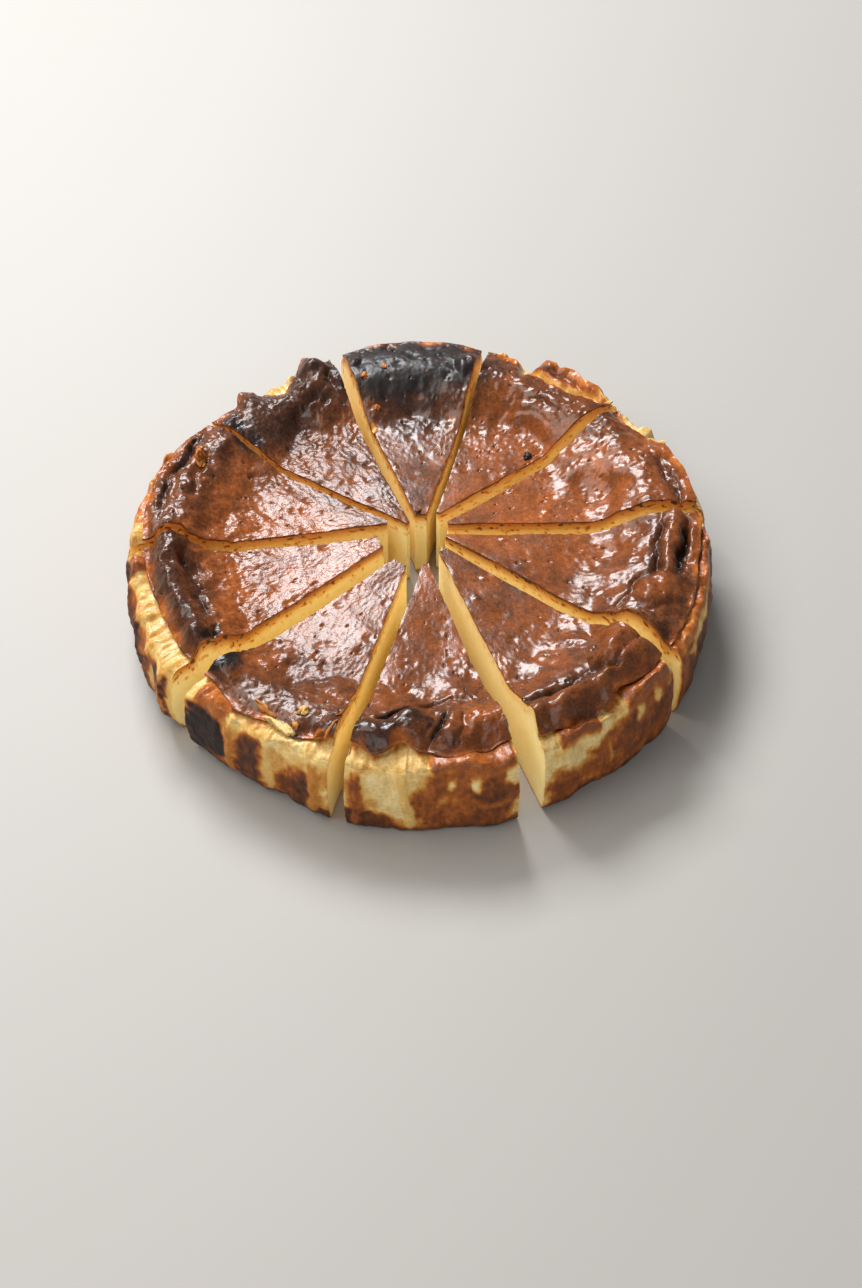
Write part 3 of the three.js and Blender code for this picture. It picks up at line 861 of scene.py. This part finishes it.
def browned_crust():
    """Egg and cream crust, browned in the oven: a slick skin of butterfat with pores and tiny wrinkles"""
    material, tree, shader, coords = new_material("browned_crust")
    colour = toasted(tree, coords, ("#d6bf86", "#cda55c", "#ba8138"), 1.0, 0.09)
    sheen = add(tree, "Attribute", attribute_name="sheen").outputs["Fac"]
    grit = add(tree, "Attribute", attribute_name="grit").outputs["Fac"]
    slick = add(tree, "MapRange", {"Value": sheen, "To Min": 0.5, "To Max": 0.185})
    pores = add(tree, "TexNoise", {"Vector": coords, "Scale": 1 / (0.9 * MM), "Detail": 2.0,
                                   "Roughness": 0.5})
    dimple = add(tree, "Bump", {"Height": pores.outputs["Fac"], "Strength": grit, "Distance": 0.12 * MM})
    tree.links.new(colour, shader.inputs["Base Color"])
    tree.links.new(slick.outputs["Result"], shader.inputs["Roughness"])
    tree.links.new(dimple.outputs["Normal"], shader.inputs["Normal"])
    shader.inputs["IOR"].default_value = 1.4
    return material


def paper_baked_side():
    """Custard set against baking paper: matte cream, toasted to brown stains, finely creased"""
    material, tree, shader, coords = new_material("paper_baked_side")
    colour = toasted(tree, coords, ("#f3e0ac", "#e2bc70", "#c98b3c"), 1.4, 0.045)
    stretch = add(tree, "Mapping", {"Vector": coords, "Scale": (1, 1, 0.35)})
    fibres = add(tree, "TexNoise", {"Vector": stretch.outputs["Vector"], "Scale": 1 / (1.1 * MM),
                                    "Detail": 4.0})
    crinkle = add(tree, "Bump", {"Height": fibres.outputs["Fac"], "Strength": 0.5, "Distance": 0.3 * MM})
    tree.links.new(colour, shader.inputs["Base Color"])
    tree.links.new(crinkle.outputs["Normal"], shader.inputs["Normal"])
    shader.inputs["Roughness"].default_value = 0.55
    shader.inputs["Specular IOR Level"].default_value = 0.25
    return material


def custard_cut():
    """Set custard cut with a knife: smooth and moist, with fine curd and light passing through it"""
    material, tree, shader, coords = new_material("custard_cut")
    colour = toasted(tree, coords, ("#fbebb0", "#e4bb68", "#c58a3c"), 2.0, 0.02)
    curd = add(tree, "TexNoise", {"Vector": coords, "Scale": 1 / (0.8 * MM), "Detail": 3.0})
    dimple = add(tree, "Bump", {"Height": curd.outputs["Fac"], "Strength": 0.3, "Distance": 0.2 * MM})
    tree.links.new(colour, shader.inputs["Base Color"])
    tree.links.new(dimple.outputs["Normal"], shader.inputs["Normal"])
    shader.inputs["Roughness"].default_value = 0.45
    shader.inputs["IOR"].default_value = 1.4
    shader.inputs["Subsurface Weight"].default_value = 0.6
    shader.inputs["Subsurface Radius"].default_value = (1.0, 0.75, 0.4)
    shader.inputs["Subsurface Scale"].default_value = 4 * MM
    return material


def crumbs_piece(material):
    """Loose crumbs and torn strips of crust and custard"""
    shape = bmesh.new()
    layer = shape.verts.layers.float.new("brown")
    for number, crumb in enumerate(CRUMBS):
        start_place = (crumb["bearing"], crumb["radius"])
        strip = smooth_line([start_place, crumb.get("to", start_place)])
        new = bmesh.ops.create_icosphere(shape, subdivisions=3, radius=1)["verts"]
        ball = np.array([vert.co for vert in new])
        lump = 1 + 0.5 * grain(*ball.T, 0.9, 60 + number) + 0.35 * grain(*ball.T, 0.4, 90 + number)
        share = 0.5 + 0.5 * ball[:, :1]
        ball = ball * lump[:, None] * crumb["size"]
        ball[:, :2] += mix(strip[0], strip[-1], share)
        frayed_x = grain(*ball.T, 1.5, 120 + number)
        frayed_y = grain(*ball.T, 1.5, 150 + number)
        ball[:, 0] += 0.7 * crumb["size"] * frayed_x
        ball[:, 1] += 0.7 * crumb["size"] * frayed_y
        ball[:, 2] = ball[:, 2] * 0.7 + top_height(ball[:, 0], ball[:, 1]) + 0.3 * crumb["size"]
        for vert, place in zip(new, ball * MM):
            vert.co = place
            vert[layer] = crumb["brown"]
    for face in shape.faces:
        face.smooth = True
    mesh = bpy.data.meshes.new("crumbs")
    shape.to_mesh(mesh)
    shape.free()
    mesh.materials.append(material)
    piece = new_object("crumbs", mesh)
    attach(piece, "root")


def pale_floor():
    """Matte pale stone: light grey, faintly clouded"""
    material, tree, shader, coords = new_material("pale_floor")
    cloud = add(tree, "TexNoise", {"Vector": coords, "Scale": 1 / 0.35, "Detail": 2.0})
    tone = add(tree, "MixRGB", {"Fac": cloud.outputs["Fac"], "Color1": linear("#a19e9a"),
                                "Color2": linear("#9d9b96")})
    tree.links.new(tone.outputs["Color"], shader.inputs["Base Color"])
    shader.inputs["Roughness"].default_value = 0.6
    return material


def lay_floor():
    """A wide floor under the cake"""
    shape = bmesh.new()
    bmesh.ops.create_grid(shape, x_segments=2, y_segments=2, size=6)
    mesh = bpy.data.meshes.new("floor")
    shape.to_mesh(mesh)
    shape.free()
    mesh.materials.append(pale_floor())
    floor = new_object("floor", mesh)


def hang_light(name, bearing, height, size, power, colour):
    """A soft rectangular light that faces the cake from a bearing and a height in degrees"""
    lamp = bpy.data.lights.new(name, "AREA")
    lamp.shape = "RECTANGLE"
    lamp.size, lamp.size_y = size
    lamp.energy = power
    lamp.color = linear(colour)[:3]
    light = new_object(name, lamp)
    flat = LIGHT_AWAY * math.cos(math.radians(height))
    light.location = (
        flat * math.cos(math.radians(bearing)),
        flat * math.sin(math.radians(bearing)),
        LIGHT_AWAY * math.sin(math.radians(height)),
    )
    light.rotation_euler = (math.radians(90 - height), 0, math.radians(bearing + 90))


def light_scene():
    """A pale room with a bright window behind, a wide one on the left, and weak light from the front"""
    world = bpy.data.worlds.new("soft_room")
    world.use_nodes = True
    world.node_tree.nodes["Background"].inputs["Color"].default_value = linear("#eeeeee")
    world.node_tree.nodes["Background"].inputs["Strength"].default_value = ROOM_STRENGTH
    bpy.context.scene.world = world
    for light in LIGHTS:
        hang_light(**light)


def set_camera():
    """The photograph's view, from the front and above"""
    camera = bpy.data.cameras.new("camera")
    camera.lens = CAMERA_LENS
    camera.sensor_width = CAMERA_SENSOR
    camera.clip_end = 20
    view = new_object("camera", camera)
    view.location = [part * MM for part in CAMERA_PLACE]
    view.rotation_euler = (math.radians(90 - CAMERA_ELEVATION), 0, 0)
    bpy.context.scene.camera = view


set_camera()
light_scene()
lay_floor()
bpy.context.scene.view_settings.view_transform = "Standard"
bpy.context.scene.cycles.diffuse_bounces = 12

crust = browned_crust()
side = paper_baked_side()
custard = custard_cut()
blank = slice_blank()
for number, one in enumerate(SLICES, start=1):
    slice_piece(blank, number, one, [crust, side, custard])
blank.free()
crumbs_piece(crust)
